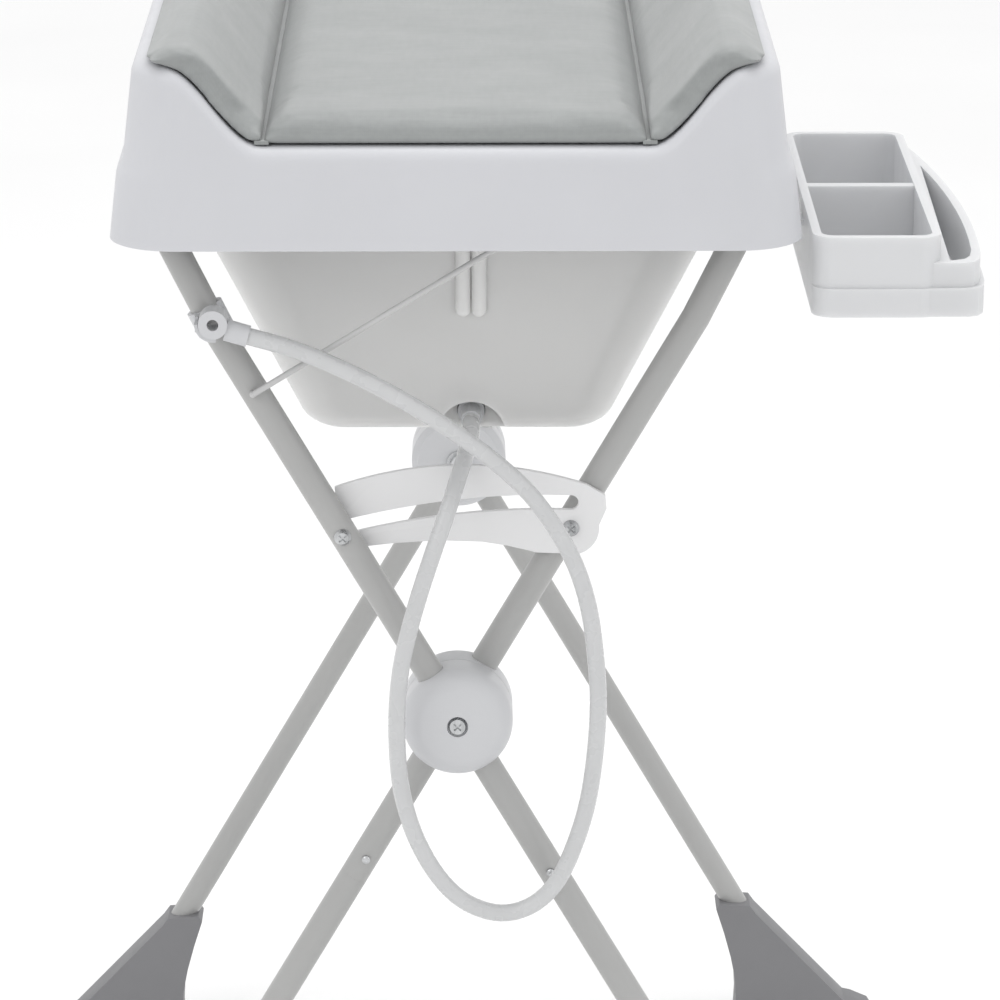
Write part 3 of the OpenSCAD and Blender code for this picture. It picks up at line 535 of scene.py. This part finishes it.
def from_work(name, work, material, body):
    mesh = bpy.data.meshes.new(name)
    work.to_mesh(mesh)
    work.free()
    made = dress(name, mesh, material, body)
    applied(made, ("BEVEL", {"width": 0.6 * MM, "segments": 2, "limit_method": "ANGLE",
                             "angle_limit": math.radians(40)}))


pins_low, pins_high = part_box("hinge_pins")
HINGE_X = (pins_low.x + pins_high.x) / 2
HINGE_Z = (pins_low.z + pins_high.z) / 2
HINGE_Y = 0.150
KNUCKLE_OFF = 17.4 * MM
RIM_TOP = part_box("top_bumpers")[1].z
STAY_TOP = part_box("stay_wire")[1].z
STOP_RIB_X = 208 * MM
TRACK_LEFT, TRACK_RIGHT, TRACK_BACK = -0.149, 0.055, -0.352
work = bmesh.new()
for side in (-1, 1):
    middle = side * STOP_RIB_X
    eased_box(work, Vector((middle - 1.5 * MM, -TOP_HALF_L + 40 * MM, RIM_TOP)),
              Vector((middle + 1.5 * MM, TOP_HALF_L - 40 * MM, TOP_EDGE - 6 * MM)))
for y in (-HINGE_Y, HINGE_Y):
    for side in (-1, 1):
        at = y + side * KNUCKLE_OFF
        barrel(work, Vector((HINGE_X, at, HINGE_Z)), 10 * MM, 4.5 * MM)
        eased_box(work, Vector((-TOP_HALF_W + 1.8 * MM, at - 5 * MM, HINGE_Z - 3 * MM)),
                  Vector((HINGE_X, at + 5 * MM, HINGE_Z + 4.4 * MM)))
eased_box(work, Vector((TRACK_LEFT, -TOP_HALF_L + 2 * MM, STAY_TOP + 0.4 * MM)),
          Vector((TRACK_RIGHT, TRACK_BACK, STAY_TOP + 3.2 * MM)))
from_work("top_ribs_and_knuckles", work, top_plastic, "top")
print("hinge axis at x", round(HINGE_X, 4), "z", round(HINGE_Z, 4))

# %% [markdown]
# Many smaller pieces have the right outline already and only lack the soft edges that a mould
# gives. A copy of such a solid, with its edges rounded by a bevel, is the honest way to get there:
# the size stays, the facets merge and the light catches the edges.

# %% Softened copies
def softened(node, name, material, body, width, segments=3, sharp=30):
    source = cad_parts[node].data
    work = bmesh.new()
    work.from_mesh(source)
    bmesh.ops.remove_doubles(work, verts=work.verts[:], dist=2e-6)
    bmesh.ops.dissolve_limit(work, angle_limit=math.radians(1.0), verts=work.verts[:],
                             edges=work.edges[:])
    mesh = bpy.data.meshes.new(name)
    work.to_mesh(mesh)
    work.free()
    made = dress(name, mesh, material, body, sharp, (node,))
    applied(made, ("BEVEL", {"width": width, "segments": segments, "limit_method": "ANGLE",
                             "angle_limit": math.radians(30), "harden_normals": False}))
    shade(made.data, sharp)


softened("caddy", "caddy_tray", caddy_plastic, "caddy_box", 2.2 * MM, 4)
# The slotted link gets the hub plastic painted lighter, as painted light against the shade it sits
# in.
softened("link_plate", "slotted_link", link_plastic_painted_lighter, "link", 0.9 * MM)
for letter, body in (("a", "stand_a"), ("b", "stand_b")):
    for end in ("front", "rear"):
        softened(f"hub_shell_{letter}_{end}", f"hub_cover_{letter}_{end}", hub_plastic, body,
                 2.5 * MM)
        softened(f"boot_{letter}_{end}", f"boot_cover_{letter}_{end}", boot_plastic, body,
                 4.0 * MM, 4)
softened("bath_rim", "bath_rim_frame", bath_plastic, "bath", 0.7 * MM, 2, 40)
print("softened copies made")

# %% [markdown]
# The tub is drawn as rings too. Each ring is the plan at one height: narrow with tight corners at
# the bottom, wide with round corners at the rim. A solid for the outside, less a solid for the
# inside, leaves the wall. An arch over the drain is carved from both, so the wall follows it.

# %% Bath tub
TUB_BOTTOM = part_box("bath_pan")[0].z
TUB_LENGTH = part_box("bath_ends")[1].y / MM
TUB_WALL = 3
TUB_HEIGHT = 194
FLOOR_HALF_W = 112
FLOOR_SHORT = 17
FLOOR_CORNER = 34
FLOOR_RISE = 20
FLOOR_TURN = 72.5
MIDDLE_HEIGHT, MIDDLE_HALF_W, MIDDLE_SHORT = 137, 176.5, 5
RIM_HALF_W = 188
RIM_CORNER = 62
RIM_LIP = 3.5
DRAIN_X = 10
DRAIN_HOLE = 8.1 * MM
ARCH_HALF, ARCH_DEEP, ARCH_TOP = 24, 42, 26


def tub_profile(inset, more):
    """Height, half width, half length and corner radius of each ring, in millimetres."""
    rings = []
    for k in range(1, 8):
        turn = math.radians(FLOOR_TURN * k / 7)
        inward = (FLOOR_CORNER - inset) * (1 - math.sin(turn))
        rings.append((inset + FLOOR_RISE * (1 - math.cos(turn)), FLOOR_HALF_W - inset - inward,
                      TUB_LENGTH - FLOOR_SHORT - inset - inward, FLOOR_CORNER - inset - inward))
    middle = (MIDDLE_HEIGHT, MIDDLE_HALF_W - inset, TUB_LENGTH - MIDDLE_SHORT - inset,
              RIM_CORNER - inset)
    upper = (TUB_HEIGHT, RIM_HALF_W - inset, TUB_LENGTH - inset, RIM_CORNER - inset)
    for start, end in ((rings[-1], middle), (middle, upper)):
        for share in (0.06, 0.35, 0.65, 0.94):
            rings.append(tuple(a + (b - a) * share for a, b in zip(start, end)))
    return rings + [upper, (TUB_HEIGHT + RIM_LIP + more, *upper[1:])]


def tub_solid(inset, more):
    plan = rounded_plan(8, 12, 12)
    rings = []
    for height, half_w, half_l, radius in tub_profile(inset, more):
        flat = [plan_point(share, half_w * MM, half_l * MM, radius * MM) for share in plan]
        rings.append([Vector((x, y, TUB_BOTTOM + height * MM)) for x, y in flat])
    return skin(rings, cap_first=True, cap_last=True)


def arch_prism(half, back, top):
    """A prism along Y with a round top, over the drain."""
    outline = [(DRAIN_X - half, -5), (DRAIN_X + half, -5)]
    for k in range(19):
        turn = math.pi * k / 18
        outline.append((DRAIN_X + half * math.cos(turn), top - half + half * math.sin(turn)))
    rings = [[Vector((x * MM, y * MM, TUB_BOTTOM + z * MM)) for x, z in outline]
             for y in (-TUB_LENGTH - 9, back)]
    return skin(rings, cap_first=True, cap_last=True)


def carved(made, points, faces):
    """The piece less a closed form."""
    mesh = bpy.data.meshes.new("cutter")
    mesh.from_pydata([tuple(p) for p in points], [], faces)
    turn_outwards(mesh)
    cutter = bpy.data.objects.new("cutter", mesh)
    bpy.context.scene.collection.objects.link(cutter)
    applied(made, ("BOOLEAN", {"object": cutter, "operation": "DIFFERENCE", "solver": "EXACT"}))
    bpy.data.objects.remove(cutter)


hollow = piece("tub_hollow", *tub_solid(TUB_WALL, 9), bath_plastic, "bath", "bath_plastic")
carved(hollow, *arch_prism(ARCH_HALF + TUB_WALL, -TUB_LENGTH + ARCH_DEEP + TUB_WALL,
                           ARCH_TOP + TUB_WALL))
hollow_points = [v.co.copy() for v in hollow.data.vertices]
hollow_faces = [tuple(face.vertices) for face in hollow.data.polygons]
bpy.data.objects.remove(hollow)
tub = piece("bath_tub", *tub_solid(0, 0), bath_plastic, "bath", "bath_plastic", 35,
            ("bath_pan", "bath_sides", "bath_ends", "bath_corners"))
carved(tub, *arch_prism(ARCH_HALF, -TUB_LENGTH + ARCH_DEEP, ARCH_TOP))
carved(tub, hollow_points, hollow_faces)
spigot_low, spigot_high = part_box("drain_spigot")
hole = [[Vector((DRAIN_X * MM + DRAIN_HOLE * math.cos(turn), y,
                 (spigot_low.z + spigot_high.z) / 2 + DRAIN_HOLE * math.sin(turn)))
         for turn in (math.tau * k / 48 for k in range(48))]
        for y in (spigot_high.y - 9 * MM, spigot_high.y + 9 * MM)]
carved(tub, *skin(hole, cap_first=True, cap_last=True))
shade(tub.data, 35)
print("tub faces", len(tub.data.polygons))

# %% [markdown]
# Two round ribs run down the front wall of the tub from the rim and end in a round nose.

# %% Ribs on the tub
RIB_RADIUS = 5.5 * MM
RIB_DROP = 98 * MM
RIM_Z = TUB_BOTTOM + TUB_HEIGHT * MM


def rib(x, top_z, low_z, y_of):
    """A round bar that follows the wall down and ends in half a ball."""
    stations = [(top_z - (top_z - low_z) * k / 8, 1.0) for k in range(9)]
    stations += [(low_z - RIB_RADIUS * math.sin(turn), math.cos(turn))
                 for turn in (math.radians(90 * k / 6) for k in range(1, 6))]
    return [[Vector((x + RIB_RADIUS * size * math.cos(turn),
                     y_of(z) + RIB_RADIUS * size * math.sin(turn), z))
             for turn in (math.tau * k / 24 for k in range(24))] for z, size in stations]


def wall_y(z):
    return -TUB_LENGTH * MM + FLOOR_SHORT / TUB_HEIGHT * (RIM_Z - z) - 0.5 * MM


for side, x in (("left", 4.5 * MM), ("right", 15.5 * MM)):
    rings = rib(x, RIM_Z - 1 * MM, RIM_Z - RIB_DROP, wall_y)
    piece(f"tub_rib_{side}", *skin(rings, True, True), bath_plastic, "bath", "bath_plastic")
print("tub ribs end at z", round(RIM_Z - RIB_DROP, 3))

# %% [markdown]
# The pad is one mat in three fields: a flat middle and two sides that ride up the slope. Each
# field is a closed form, cut a little short at its ends and a little wide at the seams, and then
# filled: a cloth simulation with inner pressure and no gravity blows it up until the cover pulls
# tight. What lies on the moulding stays put.

# %% Pad fields before filling
PAD_HALF_L = pad_high.y
PAD_SHY = 3 * MM
PAD_LIFT = 1.4 * MM


def lofted_pad(name, outline):
    """A closed form of one cross section along Y, drawn in towards both ends."""
    rings = []
    middle = sum((Vector((x, 0, z)) for x, z in outline), Vector()) / len(outline)
    stations = [(-1.0, 0.55), (-0.996, 0.78), (-0.99, 0.9), (-0.98, 0.97), (-0.96, 1.0)]
    stations += [(-0.96 + 1.92 * k / 40, 1.0) for k in range(1, 40)]
    stations += [(-at, size) for at, size in reversed(stations[:5])]
    low = min(z for x, z in outline)
    for at, size in stations:
        ring = []
        for x, z in outline:
            floor = low if name == "pad_field_middle" else dish_height(x) + PAD_LIFT
            ring.append(Vector((middle.x + (x - middle.x) * (0.97 + 0.03 * size),
                                at * (PAD_HALF_L - PAD_SHY),
                                floor + (z - floor) * size)))
        rings.append(ring)
    return skin(rings, cap_first=True, cap_last=True)


def middle_outline():
    half = DISH_HALF + 2 * MM
    low = pad_low.z + 0.4 * MM
    high = pad_high.z - 3.5 * MM
    outline = [(-half, low)]
    outline += [(-half + 2 * half * k / 12, low) for k in range(1, 13)]
    rise = [(0.0, 0.35), (0.012, 0.7), (0.035, 0.93), (0.08, 1.0)]
    across = rise + [(0.08 + 0.84 * k / 12, 1.0) for k in range(1, 12)]
    across += [(1 - t, h) for t, h in reversed(rise)]
    outline += [(half - 2 * half * t, low + (high - low) * h) for t, h in across]
    return outline


def side_outline(side):
    start = DISH_HALF - 2 * MM
    end = SLOPE_END + 12 * MM
    steps = 14
    lower, upper = [], []
    for k in range(steps + 1):
        t = k / steps
        x = start + t * (end - start)
        thick = 12.5 * MM * (math.sin(math.pi * min(t * 0.96 + 0.02, 1)) ** 0.6) + 2.5 * MM
        lower.append((x, dish_height(x) + PAD_LIFT))
        upper.append((x - 0.1 * thick, dish_height(x) + PAD_LIFT + thick))
    outline = lower + [(end + 3 * MM, dish_height(end) + 5 * MM)] + upper[::-1]
    return [(side * x, z) for x, z in (outline if side > 0 else outline[::-1])]


# %% [markdown]
# Filling works on an even mesh, so the form is rebuilt from 5 mm voxels first. After twenty steps
# each point may have moved only so far and the underside not at all. What reaches past a seam is
# brought back to it, so the fields meet there.

# %% Fill the pad
FILL_STEPS = 20
FILL_PRESSURE = 4.0
FILL_REACH = 5 * MM
VOXEL = 5 * MM
SEAM_GAP = 0.1 * MM


def fill(made, x_range):
    applied(made, ("REMESH", {"mode": "VOXEL", "voxel_size": VOXEL}))
    start = [v.co.copy() for v in made.data.vertices]
    facing = [v.normal.z for v in made.data.vertices]
    cloth = made.modifiers.new("filling", "CLOTH")
    cloth.settings.quality = 4
    cloth.settings.mass = 0.3
    cloth.settings.tension_stiffness = 12
    cloth.settings.compression_stiffness = 12
    cloth.settings.bending_stiffness = 0.4
    cloth.settings.use_pressure = True
    cloth.settings.uniform_pressure_force = FILL_PRESSURE
    cloth.settings.effector_weights.gravity = 0
    cloth.point_cache.frame_end = FILL_STEPS
    scene = bpy.context.scene
    for step in range(1, FILL_STEPS + 1):
        scene.frame_set(step)
    graph = bpy.context.evaluated_depsgraph_get()
    swollen = [v.co.copy() for v in made.evaluated_get(graph).data.vertices]
    made.modifiers.clear()
    scene.frame_set(1)
    for v, old, new, up in zip(made.data.vertices, start, swollen, facing):
        moved = new - old
        if moved.length > FILL_REACH:
            moved *= FILL_REACH / moved.length
        v.co = old + moved * smooth_step((up + 0.5) / 0.6)
    for v in made.data.vertices:
        v.co.x = min(x_range[1], max(x_range[0], v.co.x))
    applied(made, ("SMOOTH", {"factor": 0.5, "iterations": 2}),
            ("SUBSURF", {"levels": 1, "render_levels": 1}))
    for face in made.data.polygons:
        face.use_smooth = True


for name, outline, node, x_range in (
    ("pad_field_middle", middle_outline(), "pad_middle",
     (-DISH_HALF + SEAM_GAP, DISH_HALF - SEAM_GAP)),
    ("pad_field_left", side_outline(-1), "pad_side_left", (-1, -DISH_HALF - SEAM_GAP)),
    ("pad_field_right", side_outline(1), "pad_side_right", (DISH_HALF + SEAM_GAP, 1)),
):
    points, faces = lofted_pad(name, outline)
    field = piece(name, points, faces, cover, "top", "pad_fabric", replaces=(node,))
    fill(field, x_range)
    print(name, "faces", len(field.data.polygons))

# %% [markdown]
# The fields are sewn together along two seams. Under each seam runs a narrow web of the same cover,
# so the groove between two fields shows cloth and not the moulding.

# %% Seam webs
for side in (-1, 1):
    work = bmesh.new()
    eased_box(work, Vector((side * DISH_HALF - 5 * MM, -PAD_HALF_L + 5 * MM, DISH_Z + 1 * MM)),
              Vector((side * DISH_HALF + 5 * MM, PAD_HALF_L - 5 * MM, DISH_Z + 4 * MM)))
    from_work(f"seam_web_{'left' if side < 0 else 'right'}", work, cover, "top")
print("seam webs at x", round(DISH_HALF, 3))

# %% [markdown]
# The rest of the frame has its true shape already: tubes, bends, bolts, screws, pins and washers.
# Each only gets its finish.

# %% Finishes on the frame's own solids
FINISHES = {
    "rail": tube_paint, "corners": tube_paint, "upper_leg": tube_paint, "lower_leg": tube_paint,
    "soles": rubber, "button": zinc, "hub_bolts": zinc, "hub_nuts": zinc,
    "hub_washers": zinc, "link_pivot": zinc, "link_slot": zinc, "hose_clip": hub_plastic,
    "hose_fitting": hub_plastic, "drain_spigot": hub_plastic, "drain_seal": rubber,
    "drain_plug": boot_plastic, "hinge_pins": zinc, "top_bumpers": rubber, "stay_wire": wire_paint,
    "pad_studs": hub_plastic,
}
for node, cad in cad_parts.items():
    for start, material in FINISHES.items():
        if node.startswith(start):
            cad.data.materials.clear()
            cad.data.materials.append(material)
print("finishes on", len(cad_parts), "solids")

# %% [markdown]
# The table stands in an even white room: a pale floor that runs into a pale background. The
# light from above is the strongest. A weaker one comes from the front left and a faint one from
# the right.

# %% Floor and light
floor_mesh = bpy.data.meshes.new("floor")
floor_mesh.from_pydata([(-6, -6, 0), (6, -6, 0), (6, 9, 0), (-6, 9, 0)], [], [(0, 1, 2, 3)])
floor = bpy.data.objects.new("floor", floor_mesh)
bpy.context.scene.collection.objects.link(floor)
paint = Finish("pale_floor")
paint.colour(paint.ramp(paint.noise(2, 2), [(0.3, (0.93, 0.93, 0.93)), (0.7, (0.95, 0.95, 0.95))]))
paint.constant(Roughness=0.8)
floor.data.materials.append(paint.material)

world = bpy.data.worlds.new("white_room")
world.use_nodes = True
world.node_tree.nodes["Background"].inputs["Color"].default_value = (1, 1, 1, 1)
world.node_tree.nodes["Background"].inputs["Strength"].default_value = 1.0
bpy.context.scene.world = world


def soft_light(name, at, aim, size, power):
    lamp = bpy.data.lights.new(name, "AREA")
    lamp.shape = "SQUARE"
    lamp.size = size
    lamp.energy = power
    made = bpy.data.objects.new(name, lamp)
    made.location = at
    made.rotation_euler = (Vector(aim) - Vector(at)).to_track_quat("-Z", "Y").to_euler()
    bpy.context.scene.collection.objects.link(made)


soft_light("key", (-1.8, -2.2, 2.6), (0, 0, 0.7), 1.6, 10)
soft_light("fill", (2.4, -1.4, 1.4), (0, 0, 0.6), 1.8, 4)
soft_light("sky", (0.2, 0.3, 3.2), (0, 0, 0.9), 1.8, 22)
bpy.context.scene.view_settings.view_transform = "Standard"
